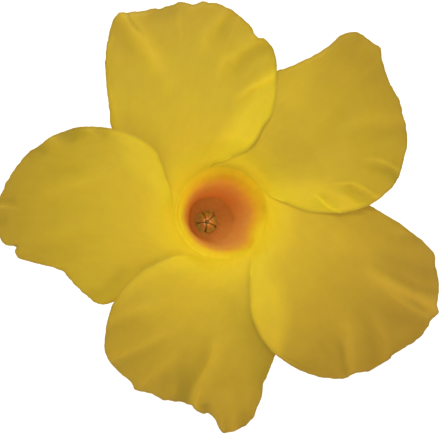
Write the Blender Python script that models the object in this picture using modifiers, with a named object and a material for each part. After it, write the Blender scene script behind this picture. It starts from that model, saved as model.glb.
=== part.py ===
"""A picked mandevilla flower, lying on its side on a flat surface.

Metres, +Z up. The flower is drawn in its own frame, with the middle of its mouth at the origin, its
face towards +Z and its tube running down to the calyx and the stalk. An empty then lays the whole
flower down, so that it rests on the edges of two petals and on the end of its stalk.

Angles of points on the face are in degrees, anticlockwise from +X as seen from the front.
"""

import math

import bmesh
import bpy
import numpy as np
from mathutils import Matrix, Vector

MM = 0.001

# The side that the flower lies on, as a direction in its own frame. Its face then looks along -Y.
LIES_ON = (0.37, -0.79, -0.49)

# The corolla, in millimetres. The tube's flare ends at the mouth, where the petals are seated.
MOUTH_RADIUS = 8.0
THROAT_RADIUS = 6.5
THROAT_DEPTH = 4.5
FLARE_REACH = 1.8
FLAT_RADIUS = 14.0
WALL = 0.5
PETAL_GAP = 0.45
SEAT_GAP = 0.3

# How far a petal's clockwise side lies over the next petal, and its other side under the last one.
SIDE_RAISED = 1.35
SIDE_LOWERED = 0.5
PITCH_GROWS_IN = 0.03

# Inside of the tube under the flare: (radius, depth below the mouth).
TUBE_PROFILE = [
    (5.75, 6.6), (5.1, 9.0), (4.4, 12.0), (3.85, 15.5), (3.45, 19.0), (3.0, 22.5),
    (2.5, 25.5), (2.05, 28.0), (1.8, 31.0), (1.75, 36.0), (1.8, 40.0), (1.75, 43.2),
]
TUBE_END = TUBE_PROFILE[-1][1]
TUBE_SIDES = 30

# The tube bends sideways below its rim and then runs nearly straight, leaning by this slope.
LEAN = 0.26
LEAN_TOWARDS = 212.0
LEAN_FROM = 2.0
BEND_LENGTH = 6.0

# Each petal: the angles of its seat on the mouth, clockwise end first, how strongly it curls back,
# and its edge as (angle, radius) from the clockwise end of the seat round to the other end. The two
# shoulders are the points of that edge where its long sides end and its crown starts.
PETALS = {
    "petal_top": {
        "seat": (104, 172),
        "curl": 0.011,
        "edge": [
            (102.5, 9.4), (90, 9.9), (75, 11.4), (66, 14.4), (63.5, 19), (66, 23.5), (71, 28),
            (79, 31.9), (88, 35.3), (98, 36.7), (108, 37.0), (116, 38.4), (121, 37.2),
            (127, 33), (134, 28.2), (142, 24), (152, 18.5), (162, 13),
        ],
        "shoulders": (7, 12),
    },
    "petal_left": {
        "seat": (172, 243),
        "curl": 0.012,
        "edge": [
            (170.5, 9.4), (158, 9.8), (147, 11.3), (139.5, 14), (136.5, 18), (139, 22.5),
            (145, 26.6), (153, 31.0), (163, 34.9), (174, 37.9), (184, 38.4), (190, 36.9),
            (196, 32.2), (205, 28.2), (216, 26.4), (222, 23.5), (230, 18), (238, 12),
        ],
        "shoulders": (7, 12),
    },
    "petal_bottom": {
        "seat": (243, 316),
        "curl": 0.013,
        "edge": [
            (241.5, 9.4), (230, 9.9), (219.5, 11.8), (215, 15.5), (216.5, 20), (220, 24.6),
            (226, 29.2), (234, 32.1), (243, 33.3), (252, 33.3), (261, 33.7), (268, 36.0),
            (273, 38.0), (278, 36.3), (284, 31.0), (291, 27.0), (299, 20.5), (308, 13.5),
        ],
        "shoulders": (6, 12),
    },
    "petal_lower_right": {
        "seat": (316, 390),
        "curl": 0.015,
        "edge": [
            (314.5, 9.4), (303, 9.9), (293.5, 12.2), (288.5, 16), (288, 20.5), (291, 26.2),
            (298, 31.5), (307, 35.8), (316, 38.2), (325, 39.8), (334, 40.6), (343, 39.0),
            (351, 36.0), (357, 30.8), (364, 25.3), (373, 18.8), (382, 12.8),
        ],
        "shoulders": (6, 12),
    },
    "petal_upper_right": {
        "seat": (30, 104),
        "curl": 0.013,
        "edge": [
            (28.5, 9.4), (18, 9.9), (8.5, 11.7), (1.5, 15.3), (0, 20), (3, 25.6), (9, 29.9),
            (18, 33.4), (29, 35.9), (40, 37.4), (47.5, 39.3), (53, 38.8), (58, 34.6),
            (64, 29), (73, 22.8), (85, 16.4), (96, 11.2),
        ],
        "shoulders": (6, 12),
    },
}
PETAL_ACROSS = 14
PETAL_ALONG = 14
SEAT_CROWDING = 1.35  # above 1, a petal's rows stand closer together towards its seat
LINE_STEPS = 12

# Calyx, stalk and what stands inside the tube, in millimetres.
SEPALS = 5
SEPAL_LENGTH = 9.0
SEPAL_HALF_WIDTH = 1.38
SEPAL_TIP_HALF_WIDTH = 0.12
SEPAL_WALL = 0.4
SEPAL_FOOT_RADIUS = 2.6
SEPAL_SPREAD = 1.5
SEPAL_FIRST = 20.0
SEPAL_ACROSS = 6
SEPAL_ALONG = 8

STALK_TOP = TUBE_END + SEAT_GAP
STALK_PATH = [
    # (depth, sideways, radius)
    (STALK_TOP, 0.0, 3.1), (STALK_TOP + 0.8, 0.0, 2.8), (STALK_TOP + 1.7, 0.0, 1.9),
    (STALK_TOP + 2.6, 0.1, 1.25), (STALK_TOP + 4.4, 0.3, 1.0), (STALK_TOP + 7.0, 0.8, 0.95),
    (STALK_TOP + 10.0, 1.7, 0.95), (STALK_TOP + 13.0, 3.0, 1.0), (STALK_TOP + 15.5, 4.3, 1.1),
]
STALK_BENDS_TOWARDS = -40.0

PISTIL_PROFILE = [
    # (radius, depth), from the tip of the stigma head down to the foot of the ovary
    (0.12, 15.6), (0.35, 16.4), (0.5, 17.6), (0.95, 18.6), (1.0, 20.4), (0.6, 21.4),
    (0.35, 22.2), (0.3, 30.0), (0.35, 38.5), (0.7, 39.6), (1.0, 41.2), (0.95, 42.6), (0.7, 43.2),
]

STAMENS = 5
STAMEN_FIRST = 80.0
STAMEN_FOOT_DEPTH = 22.5
STAMEN_TIP_DEPTH = 14.0
STAMEN_PROFILE = [
    # (share of its height, distance from the cone's middle, half width, half thickness)
    (0.0, 2.46, 0.25, 0.25), (0.14, 2.42, 0.28, 0.26), (0.26, 2.15, 0.5, 0.34), (0.42, 1.8, 0.8, 0.4),
    (0.60, 1.5, 0.78, 0.4), (0.80, 1.05, 0.5, 0.32), (1.0, 0.55, 0.16, 0.15),
]
CONE_STANDS_FROM = 19.0  # above this depth the cone stands straighter than the tube around it
CONE_STANDS_BY = 0.035

COLOURS = {
    # name: (colour, roughness)
    "petal": ((0.62, 0.42, 0.025, 1.0), 0.55),
    "throat": ((0.60, 0.33, 0.022, 1.0), 0.55),
    "sepal": ((0.16, 0.24, 0.035, 1.0), 0.6),
    "stalk": ((0.20, 0.25, 0.05, 1.0), 0.6),
    "stamen": ((0.38, 0.26, 0.06, 1.0), 0.6),
    "pistil": ((0.45, 0.42, 0.12, 1.0), 0.6),
}


def clear_scene():
    for old in list(bpy.data.objects):
        bpy.data.objects.remove(old)


def material(name):
    colour, roughness = COLOURS[name]
    made = bpy.data.materials.new(name)
    made.use_nodes = True
    shader = made.node_tree.nodes["Principled BSDF"]
    shader.inputs["Base Color"].default_value = colour
    shader.inputs["Roughness"].default_value = roughness
    shader.inputs["Metallic"].default_value = 0.0
    return made


def on_face(angle, radius):
    """The point (x, y) of the face at this angle and radius."""
    turn = math.radians(angle)
    return np.array([radius * math.cos(turn), radius * math.sin(turn)])


def smoothstep(low, high, value):
    share = min(1.0, max(0.0, (value - low) / (high - low)))
    return share * share * (3 - 2 * share)


def smooth_line(points):
    """A Catmull-Rom curve through these points, with LINE_STEPS steps from one to the next."""
    knots = np.array([2 * points[0] - points[1], *points, 2 * points[-1] - points[-2]])
    share = np.linspace(0, 1, LINE_STEPS, endpoint=False)[:, None]
    runs = []
    for a, b, c, d in zip(knots, knots[1:], knots[2:], knots[3:]):
        runs.append(
            0.5 * (2 * b + (c - a) * share + (2 * a - 5 * b + 4 * c - d) * share**2
                   + (3 * b - a - 3 * c + d) * share**3)
        )
    return np.vstack([*runs, points[-1][None]])


def point_along(line, share):
    """The point at this share of a line's length."""
    steps = np.linalg.norm(np.diff(line, axis=0), axis=1)
    reached = np.concatenate([[0], np.cumsum(steps)])
    return np.array([np.interp(share * reached[-1], reached, line[:, k]) for k in range(2)])


def flare_height(radius, curl):
    """Height of the face at this radius: it rises out of the throat, flattens, and curls back."""
    out_of_throat = THROAT_DEPTH * math.exp(-(radius - THROAT_RADIUS) / FLARE_REACH)
    return -out_of_throat - curl * max(0.0, radius - FLAT_RADIUS) ** 2


def tube_middle(depth):
    """The middle of the tube at this depth, as (x, y, z)."""
    below = max(0.0, depth - LEAN_FROM)
    x, y = on_face(LEAN_TOWARDS, LEAN * below**2 / (below + BEND_LENGTH))
    return Vector((x, y, -depth))


def in_tube(x, y, depth):
    """Carries a point that was drawn about a straight axis into the bent tube, square to its run."""
    run = tube_middle(depth - 0.01) - tube_middle(depth + 0.01)
    return tube_middle(depth) + Vector((0, 0, 1)).rotation_difference(run) @ Vector((x, y, 0))


def in_cone(x, y, depth):
    """Carries a point into the cone of anthers and the stigma head, which lean less than the tube."""
    above = max(0.0, CONE_STANDS_FROM - depth)
    x_shift, y_shift = on_face(LEAN_TOWARDS, CONE_STANDS_BY * above**2)
    return in_tube(x, y, depth) + Vector((x_shift, y_shift, 0))


def add_object(name, mesh, material_made, pose, collection):
    made = bpy.data.objects.new(name, mesh)
    made.data.materials.append(material_made)
    made.parent = pose
    collection.objects.link(made)
    mesh.shade_smooth()
    return made


def shell(obj, thickness, side):
    """Gives an open surface its wall: side 1 is where its normals point, and -1 the other."""
    wall = obj.modifiers.new("wall", "SOLIDIFY")
    wall.thickness = thickness * MM
    wall.offset = side
    wall.use_even_offset = True
    return obj


def mapped_grid(name, across, along, place):
    """A grid whose vertex at u (-1 to 1) across and v (0 to 1) along lies at place(u, v), in millimetres."""
    shape = bmesh.new()
    bmesh.ops.create_grid(shape, x_segments=across, y_segments=along, size=1.0)
    for vertex in shape.verts:
        vertex.co = Vector(place(vertex.co.x, (vertex.co.y + 1) / 2)) * MM
    mesh = bpy.data.meshes.new(name)
    shape.to_mesh(mesh)
    shape.free()
    return mesh


def petal_mesh(name, seat, curl, edge, shoulders):
    """A petal: a patch between its seat on the mouth, its two long sides and its crown."""
    seat_radius = MOUTH_RADIUS + PETAL_GAP
    clear = math.degrees(0.4 * PETAL_GAP / seat_radius)
    clockwise, other = seat[0] + clear, seat[1] - clear
    corners = [on_face(clockwise, seat_radius)]
    corners += [on_face(angle, radius) for angle, radius in edge]
    corners += [on_face(other, seat_radius)]
    line = smooth_line(corners)
    first, last = ((index + 1) * LINE_STEPS for index in shoulders)
    clockwise_side, crown = line[: first + 1], line[first : last + 1]
    other_side = line[last:][::-1]

    def place(u, v):
        share = (1 - u) / 2  # 0 on the clockwise side, 1 on the other
        v = v**SEAT_CROWDING
        seat_point = on_face(clockwise + (other - clockwise) * share, seat_radius)
        sides = (1 - share) * point_along(clockwise_side, v) + share * point_along(other_side, v)
        ends = (1 - v) * seat_point + v * point_along(crown, share)
        four = (1 - v) * ((1 - share) * corners[0] + share * corners[-1])
        four = four + v * ((1 - share) * crown[0] + share * crown[-1])
        x, y = sides + ends - four
        pitch = SIDE_RAISED * smoothstep(-0.1, 1, u) - SIDE_LOWERED * smoothstep(-0.1, 1, -u)
        z = flare_height(math.hypot(x, y), curl) + pitch * smoothstep(0, PITCH_GROWS_IN, v)
        return x, y, z

    return mapped_grid(name, PETAL_ACROSS, PETAL_ALONG, place)


def turned(name, profile, sides, closed_ends, carried=in_tube):
    """A profile of (radius, depth) turned about a straight axis, then bent with the tube."""
    shape = bmesh.new()
    corners = [shape.verts.new((radius * MM, 0, -depth * MM)) for radius, depth in profile]
    if closed_ends:
        top, foot = profile[0][1], profile[-1][1]
        corners.insert(0, shape.verts.new((0, 0, -top * MM)))
        corners.append(shape.verts.new((0, 0, -foot * MM)))
    for a, b in zip(corners, corners[1:]):
        shape.edges.new((a, b))
    outline = bpy.data.meshes.new(name + "_outline")
    shape.to_mesh(outline)
    shape.free()
    holder = bpy.data.objects.new(name + "_outline", outline)
    bpy.context.scene.collection.objects.link(holder)
    turn = holder.modifiers.new("turn", "SCREW")
    turn.steps = turn.render_steps = sides
    turn.use_merge_vertices = True
    turn.merge_threshold = 0.00001
    graph = bpy.context.evaluated_depsgraph_get()
    mesh = bpy.data.meshes.new_from_object(holder.evaluated_get(graph))
    bpy.data.objects.remove(holder)
    mesh.name = name
    for vertex in mesh.vertices:
        x, y, z = vertex.co / MM
        vertex.co = carried(x, y, -z) * MM
    return mesh


def tube_profile():
    """The tube's inside from the rim of the mouth down, as (radius, depth)."""
    flare = [
        (radius, -flare_height(radius, 0))
        for radius in np.linspace(MOUTH_RADIUS, THROAT_RADIUS, 5)
    ]
    return flare + TUBE_PROFILE


def sepal_mesh(name, angle):
    """A lance-shaped sepal that stands beside the foot of the tube and leans out at its tip."""

    def place(u, v):
        depth = TUBE_END - SEPAL_LENGTH * v
        half = SEPAL_HALF_WIDTH * (1 - v) ** 0.6 * (1 + 0.55 * v) + SEPAL_TIP_HALF_WIDTH
        radius = SEPAL_FOOT_RADIUS + SEPAL_SPREAD * v**2
        across = math.degrees(half * u / radius)
        return in_tube(*on_face(angle + across, radius), depth)

    return mapped_grid(name, SEPAL_ACROSS, SEPAL_ALONG, place)


def stamen_mesh(name, angle):
    """A stamen: a short filament that springs from the tube's wall, and a flat anther that leans
    in over the stigma head, its point at the top of the cone."""
    shares, *columns = np.array(STAMEN_PROFILE).T
    outward, sideways = on_face(angle, 1), on_face(angle - 90, 1)
    shape = bmesh.new()
    bmesh.ops.create_uvsphere(shape, u_segments=8, v_segments=12, radius=1.0)
    for vertex in shape.verts:
        share = 0.5 + math.asin(max(-1, min(1, vertex.co.z))) / math.pi
        away, half_width, half_thickness = (np.interp(share, shares, column) for column in columns)
        ring = max(math.hypot(vertex.co.x, vertex.co.y), 1e-6)
        x, y = sideways * half_width * vertex.co.x / ring
        x, y = (x, y) + outward * (away + half_thickness * vertex.co.y / ring)
        depth = STAMEN_FOOT_DEPTH + (STAMEN_TIP_DEPTH - STAMEN_FOOT_DEPTH) * share
        vertex.co = in_cone(x, y, depth) * MM
    mesh = bpy.data.meshes.new(name)
    shape.to_mesh(mesh)
    shape.free()
    return mesh


def add_stalk(made_of, pose, collection):
    """The stalk: a thin round stem that widens into the cup under the calyx."""
    curve = bpy.data.curves.new("stalk", "CURVE")
    curve.dimensions = "3D"
    curve.bevel_depth = MM
    curve.bevel_resolution = 3
    curve.use_fill_caps = True
    spline = curve.splines.new("POLY")
    spline.points.add(len(STALK_PATH) - 1)
    for point, (depth, sideways, radius) in zip(spline.points, STALK_PATH):
        place = in_tube(*on_face(STALK_BENDS_TOWARDS, sideways), depth) * MM
        point.co = (*place, 1)
        point.radius = radius
    stalk = bpy.data.objects.new("stalk", curve)
    stalk.data.materials.append(made_of)
    stalk.parent = pose
    collection.objects.link(stalk)
    return stalk


def volume_and_middle(points, faces):
    """A closed mesh's volume and the middle of that volume."""
    a, b, c = (points[faces[:, k]] for k in range(3))
    volumes = np.einsum("ij,ij->i", a, np.cross(b, c)) / 6
    return volumes.sum(), ((a + b + c) / 4 * volumes[:, None]).sum(0)


def resting_side(points, balance):
    """The way that a facet of the convex hull faces: the facet that the flower balances on and that
    faces closest to the side LIES_ON."""
    hull = bmesh.new()
    for point in points:
        hull.verts.new(point)
    bmesh.ops.convex_hull(hull, input=hull.verts)
    wanted = Vector(LIES_ON).normalized()
    best = None
    for face in hull.faces:
        a, b, c = (vertex.co for vertex in face.verts)
        normal = (b - a).cross(c - a).normalized()
        if normal.dot(a - balance) < 0:
            normal = -normal
        foot = balance + normal * normal.dot(a - balance)
        turns = [(q - p).cross(foot - p).dot(normal) for p, q in ((a, b), (b, c), (c, a))]
        if min(turns) * max(turns) < 0:
            continue
        if best is None or normal.dot(wanted) > best.dot(wanted):
            best = normal
    hull.free()
    return best


def lay_down(pose, solids):
    """Turns the empty so that the flower rests on the plane z = 0, its face looking along -Y and up,
    with the middle of its bounding box over the origin."""
    graph = bpy.context.evaluated_depsgraph_get()
    clouds, total, moment = [], 0.0, np.zeros(3)
    for solid in solids:
        mesh = bpy.data.meshes.new_from_object(solid.evaluated_get(graph))
        mesh.calc_loop_triangles()
        points = np.array([vertex.co for vertex in mesh.vertices])
        faces = np.array([triangle.vertices for triangle in mesh.loop_triangles])
        volume, share = volume_and_middle(points, faces)
        total, moment = total + volume, moment + share
        clouds.append(points)
        bpy.data.meshes.remove(mesh)
    points = np.vstack(clouds)
    down = resting_side(points, Vector(moment / total))
    laid = down.rotation_difference(Vector((0, 0, -1))).to_matrix()
    face = laid @ Vector((0, 0, 1))
    laid = Matrix.Rotation(math.atan2(-face.x, -face.y), 3, "Z") @ laid
    placed = points @ np.array(laid).T
    low, high = placed.min(0), placed.max(0)
    middle = Vector(((low[0] + high[0]) / 2, (low[1] + high[1]) / 2, low[2]))
    pose.matrix_world = Matrix.Translation(-middle) @ laid.to_4x4()


def main():
    clear_scene()
    flower = bpy.data.collections.new("mandevilla_flower")
    bpy.context.scene.collection.children.link(flower)
    materials = {name: material(name) for name in COLOURS}
    pose = bpy.data.objects.new("lying_flower", None)
    flower.objects.link(pose)
    solids = []

    for name, petal in PETALS.items():
        made = add_object(name, petal_mesh(name, **petal), materials["petal"], pose, flower)
        solids.append(shell(made, WALL, side=-1))

    tube = turned("corolla_tube", tube_profile(), TUBE_SIDES, closed_ends=False)
    tube = add_object("corolla_tube", tube, materials["throat"], pose, flower)
    solids.append(shell(tube, WALL, side=1))

    pistil = turned("pistil", PISTIL_PROFILE, 12, closed_ends=True, carried=in_cone)
    solids.append(add_object("pistil", pistil, materials["pistil"], pose, flower))

    for number in range(STAMENS):
        name = f"stamen_{number + 1}"
        mesh = stamen_mesh(name, STAMEN_FIRST + 360 / STAMENS * number)
        solids.append(add_object(name, mesh, materials["stamen"], pose, flower))

    for number in range(SEPALS):
        name = f"sepal_{number + 1}"
        mesh = sepal_mesh(name, SEPAL_FIRST + 360 / SEPALS * number)
        made = add_object(name, mesh, materials["sepal"], pose, flower)
        solids.append(shell(made, SEPAL_WALL, side=1))

    solids.append(add_stalk(materials["stalk"], pose, flower))
    lay_down(pose, solids)


main()
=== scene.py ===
"""The looks of a mandevilla flower: a yellow trumpet blossom, picked and lying on its side.

The flower is drawn in its own frame, in millimetres: the middle of its mouth is the origin, its face
looks along +Z, and angles on the face are in degrees, anticlockwise from +X. It is then laid down.
"""

import math

import bpy
import numpy as np
from mathutils import Matrix, Vector, noise


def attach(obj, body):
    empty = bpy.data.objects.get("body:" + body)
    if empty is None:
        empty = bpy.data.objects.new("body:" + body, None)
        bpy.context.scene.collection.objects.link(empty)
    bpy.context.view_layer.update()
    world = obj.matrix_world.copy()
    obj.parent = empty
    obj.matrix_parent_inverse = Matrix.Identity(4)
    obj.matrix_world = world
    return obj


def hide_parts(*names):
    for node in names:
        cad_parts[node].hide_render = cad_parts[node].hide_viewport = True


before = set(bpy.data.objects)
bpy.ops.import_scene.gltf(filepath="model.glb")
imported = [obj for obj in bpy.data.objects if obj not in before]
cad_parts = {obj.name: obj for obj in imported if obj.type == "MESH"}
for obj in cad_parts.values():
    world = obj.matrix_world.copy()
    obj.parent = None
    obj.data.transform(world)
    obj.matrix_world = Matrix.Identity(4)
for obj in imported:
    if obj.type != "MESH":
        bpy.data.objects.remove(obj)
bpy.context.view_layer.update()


# The trumpet's tube: a thin wall of petal tissue that flares out at the mouth, orange and then
# red-brown inside and pale yellow outside. It narrows, and leans to one side, down to the calyx.
MM = 0.001
FACE_TIPPED, FACE_TURNED = 60.502, -23.585  # how the CAD flower lies: about X, after a turn about Z
MOUTH_AT = np.array([0.197, -18.508, 34.896])  # where the middle of its mouth is then
MOUTH_RADIUS = 8.0
THROAT_RADIUS = 6.5
THROAT_DEPTH = 4.5
RIM_DEPTH = 1.95
FLARE_REACH = 1.8
FLAT_RADIUS = 14.0
TISSUE = 0.3
TUBE_SIDES = 180
TUBE_END = 43.2
TUBE_RIBS, RIB_FIRST, RIB_SHARE = 5, 66.0, 0.02
TUBE_INSIDE = [  # (radius, depth below the mouth), from under the flare to the foot
    (5.75, 6.6), (5.1, 9.0), (4.4, 12.0), (3.85, 15.5), (3.45, 19.0), (3.0, 22.5), (2.5, 25.5),
    (2.05, 28.0), (1.8, 31.0), (1.75, 36.0), (1.8, 40.0), (1.75, TUBE_END),
]
LEAN, LEAN_TOWARDS, LEAN_FROM, BEND_LENGTH = 0.26, 212.0, 2.0, 6.0
THROAT_CORNERS = [  # (angle, share of the throat's radius): the throat isn't quite round
    (6, 1.05), (18, 1.01), (44, 0.965), (68, 0.975), (104, 0.94), (140, 0.99), (180, 1.045),
    (190, 1.045), (224, 0.99), (251, 0.95), (270, 0.96), (297, 1.03), (312, 1.09), (325, 0.97),
    (340, 0.94), (354, 1.0),
]
THROAT_COLOURS = [  # (angle, how soon the colours of the throat start there, below its rim)
    (0, 0.6), (45, 0.65), (90, 0.8), (135, 0.65), (160, 0.5), (200, 0.5), (230, 1.0), (255, 1.25),
    (300, 1.0), (330, 0.7),
]
# Painted shade on the throat's lining by angle and depth, and painted light where how much darker is below
# 0.
THROAT_PAINTED_SHADE = [  # (how much darker, middle angle, half width, depths where it starts, where it ends)
    (0.22, 90, 55, (0.0, 1.0), (3.5, 6.5)),
    (-0.3, 190, 50, (2.6, 4.0), (13.0, 16.0)),
    (-0.08, -20, 60, (0.0, 1.0), (2.0, 3.0)),
]
THROAT_SOAK = (1.0, 0.75, 0.3)


class Tint:
    """A value or a colour in a material: sums and products of values add their Math nodes."""

    def __init__(self, tree, socket=None):
        self.tree, self.socket = tree, socket

    def node(self, kind, settings=None, inputs=None, output=0):
        made = self.tree.nodes.new("ShaderNode" + kind)
        for name, value in (settings or {}).items():
            if name == "stops":
                while len(made.color_ramp.elements) < len(value):
                    made.color_ramp.elements.new(1.0)
                for stop, (place, colour) in zip(made.color_ramp.elements, value):
                    stop.position, stop.color = place, (*colour, 1.0)
            else:
                setattr(made, name, value)
        for name, value in (inputs or {}).items():
            if isinstance(value, Tint):
                self.tree.links.new(value.socket, made.inputs[name])
            else:
                made.inputs[name].default_value = value
        return Tint(self.tree, made.outputs[output])

    def math(self, operation, first, second=0.0):
        return self.node("Math", {"operation": operation}, {0: first, 1: second})

    def __add__(self, other):
        return self.math("ADD", self, other)

    def __sub__(self, other):
        return self.math("SUBTRACT", self, other)

    def __rsub__(self, other):
        return self.math("SUBTRACT", other, self)

    def __mul__(self, other):
        return self.math("MULTIPLY", self, other)

    __radd__, __rmul__ = __add__, __mul__

    def smooth(self, low, high):
        """0 below low, 1 above high, and a smooth rise between them."""
        places = {"Value": self, "From Min": low, "From Max": high}
        return self.node("MapRange", {"interpolation_type": "SMOOTHSTEP"}, places)

    def between(self, colour, other):
        """This value's way from one colour to the other."""
        ends = [end if isinstance(end, Tint) else (*end, 1.0) for end in (colour, other)]
        return self.node("Mix", {"data_type": "RGBA"}, {0: self, 6: ends[0], 7: ends[1]}, output=2)

    def shaded(self, value):
        """This colour made lighter or darker by a value."""
        return self.node("VectorMath", {"operation": "SCALE"}, {0: self, "Scale": value})

    def ramp(self, *stops):
        """The colour that these stops give this value."""
        return self.node("ValToRGB", {"stops": stops}, {0: self})

    def attribute(self, name):
        return self.node("Attribute", {"attribute_name": name}, output=2)

    def noise(self, x, y, z=0.0, detail=2.0):
        """A soft random value that changes over these three values."""
        place = self.node("CombineXYZ", None, {0: x, 1: y, 2: z})
        return self.node("TexNoise", None, {"Vector": place, "Scale": 1.0, "Detail": detail})

    def around_noise(self, times, run, detail=2.0):
        """The same, over a round piece: it changes this many times a radian, and along the run."""
        return self.noise(self.attribute("east") * times, self.attribute("north") * times, run, detail)


def tissue(name, finish, roughness, glow=0.55, soak=(0.6, 0.42, 0.15)):
    """A plant tissue: finish gives its colour, its relief and the relief's depth in millimetres.
    A share of the light, glow, soaks into it about this far and comes out near by or behind."""
    made = bpy.data.materials.new(name)
    made.use_nodes = True
    shader = made.node_tree.nodes["Principled BSDF"]
    start = Tint(made.node_tree)
    colour, relief, depth = finish(start)
    bump = start.node("Bump", None, {"Height": relief, "Distance": depth * MM, "Strength": 1.0})
    made.node_tree.links.new(colour.socket, shader.inputs["Base Color"])
    made.node_tree.links.new(bump.socket, shader.inputs["Normal"])
    made.node_tree.links.new((relief * 0.2 + (roughness - 0.1)).socket, shader.inputs["Roughness"])
    shader.inputs["Specular IOR Level"].default_value = 0.12
    shader.inputs["Subsurface Weight"].default_value = glow
    shader.inputs["Subsurface Radius"].default_value = soak
    shader.inputs["Subsurface Scale"].default_value = MM
    return made


def smoothstep(low, high, value):
    share = np.clip((value - low) / (high - low), 0, 1)
    return share * share * (3 - 2 * share)


def smooth_line(points, steps=12):
    """A Catmull-Rom curve through these points."""
    points = np.array(points, float)
    knots = np.array([2 * points[0] - points[1], *points, 2 * points[-1] - points[-2]])
    share = np.linspace(0, 1, steps, endpoint=False)[:, None]
    runs = []
    for a, b, c, d in zip(knots, knots[1:], knots[2:], knots[3:]):
        run = 2 * b + (c - a) * share + (2 * a - 5 * b + 4 * c - d) * share**2
        runs.append(0.5 * (run + (3 * b - a - 3 * c + d) * share**3))
    return np.vstack([*runs, points[-1][None]])


def on_face(angle, radius):
    """The points (x, y) of the face at these angles and radii."""
    turn = np.radians(angle)
    return np.stack([radius * np.cos(turn), radius * np.sin(turn)], axis=-1)


def flare_height(radius, curl):
    """Height of the face at this radius: it rises out of the throat, flattens, and curls back."""
    out_of_throat = THROAT_DEPTH * np.exp(-(radius - THROAT_RADIUS) / FLARE_REACH)
    return -out_of_throat - curl * np.maximum(0, radius - FLAT_RADIUS) ** 2


def around_mouth(angle, middle, half_width):
    """A soft share of the mouth: 1 at the middle angle, and less to both sides."""
    away = (angle - middle + 180) % 360 - 180
    return np.exp(-((away / half_width) ** 2))


def tube_middle(depth):
    """Where the middle of the tube is on the face's plan, at these depths."""
    below = np.maximum(0, depth - LEAN_FROM)
    return on_face(LEAN_TOWARDS, 1.0) * (LEAN * below**2 / (below + BEND_LENGTH))[:, None]


def carry(points, middle):
    """Carries points that were drawn about a straight axis on to a curved one, square to its run."""
    depth = -points[:, 2]
    slope = (middle(depth - 0.01) - middle(depth + 0.01)) / 0.02
    steep = np.sqrt(1 + (slope**2).sum(1))
    run, upright = slope / steep[:, None], 1 / steep
    x, y = points[:, 0], points[:, 1]
    twist = (run[:, 0] * y - run[:, 1] * x) / (1 + upright)
    shift = middle(depth)
    return np.column_stack([
        shift[:, 0] + x * upright - run[:, 1] * twist,
        shift[:, 1] + y * upright + run[:, 0] * twist,
        points[:, 2] - run[:, 0] * x - run[:, 1] * y,
    ])


def points_of(piece):
    """A piece's vertices in the flower's frame, in millimetres, before it is laid down."""
    points = np.empty(len(piece.data.vertices) * 3, np.float32)
    piece.data.vertices.foreach_get("co", points)
    return points.reshape(-1, 3).astype(float) / MM


LAID = np.array(
    Matrix.Rotation(math.radians(FACE_TIPPED), 3, "X") @ Matrix.Rotation(math.radians(FACE_TURNED), 3, "Z")
)


def lay_down(piece, points):
    """Puts a piece's vertices at these points of the flower's frame, with the flower lying down."""
    laid = (points @ LAID.T + MOUTH_AT) * MM
    piece.data.vertices.foreach_set("co", laid.astype(np.float32).ravel())
    piece.data.update()


def keep(piece, name, values):
    """Keeps a value for each vertex, which the piece's material reads."""
    kept = piece.data.attributes.new(name, "FLOAT", "POINT")
    kept.data.foreach_set("value", np.asarray(values, np.float32))


def keep_round(piece, points):
    """Keeps what around_noise reads: which way each vertex lies from the axis."""
    away = np.maximum(np.hypot(points[:, 0], points[:, 1]), 1e-6)
    keep(piece, "east", points[:, 0] / away)
    keep(piece, "north", points[:, 1] / away)


def select_only(piece):
    bpy.ops.object.select_all(action="DESELECT")
    piece.select_set(True)
    bpy.context.view_layer.objects.active = piece


def smooth_faces(piece, angle=50):
    select_only(piece)
    bpy.ops.object.shade_smooth_by_angle(angle=math.radians(angle))


def give_wall(piece, thickness, back, margin_share=1.0):
    """Gives a surface its wall behind it, thinner where the group named body is weak."""
    wall = piece.modifiers.new("wall", "SOLIDIFY")
    wall.thickness = thickness * MM
    wall.offset = -1
    if "body" in piece.vertex_groups:
        wall.vertex_group = "body"
        wall.thickness_vertex_group = margin_share
    piece.data.materials.append(back)
    wall.material_offset = 1
    select_only(piece)
    bpy.ops.object.modifier_apply(modifier=wall.name)
    smooth_faces(piece)


def settle(piece):
    """Keeps a piece on top of what the flower lies on."""
    for vertex in piece.data.vertices:
        vertex.co.z = max(vertex.co.z, 0.02 * MM)


def turned(name, profile, sides):
    """Rings drawn from the first (radius, depth) to the last, about a straight axis."""
    bpy.ops.object.select_all(action="DESELECT")
    (radius, depth), rest = profile[0], profile[1:]
    bpy.ops.mesh.primitive_circle_add(vertices=sides, radius=radius * MM, location=(0, 0, -depth * MM))
    made = bpy.context.object
    made.name = made.data.name = name
    bpy.ops.object.transform_apply(location=True)
    bpy.ops.object.mode_set(mode="EDIT")
    bpy.ops.mesh.select_all(action="SELECT")
    for next_radius, next_depth in rest:
        drop = (0, 0, (depth - next_depth) * MM)
        bpy.ops.mesh.extrude_edges_move(TRANSFORM_OT_translate={"value": drop})
        share = next_radius / radius
        bpy.ops.transform.resize(value=(share, share, 1), center_override=(0, 0, -next_depth * MM))
        radius, depth = next_radius, next_depth
    bpy.ops.object.mode_set(mode="OBJECT")
    return made


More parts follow.
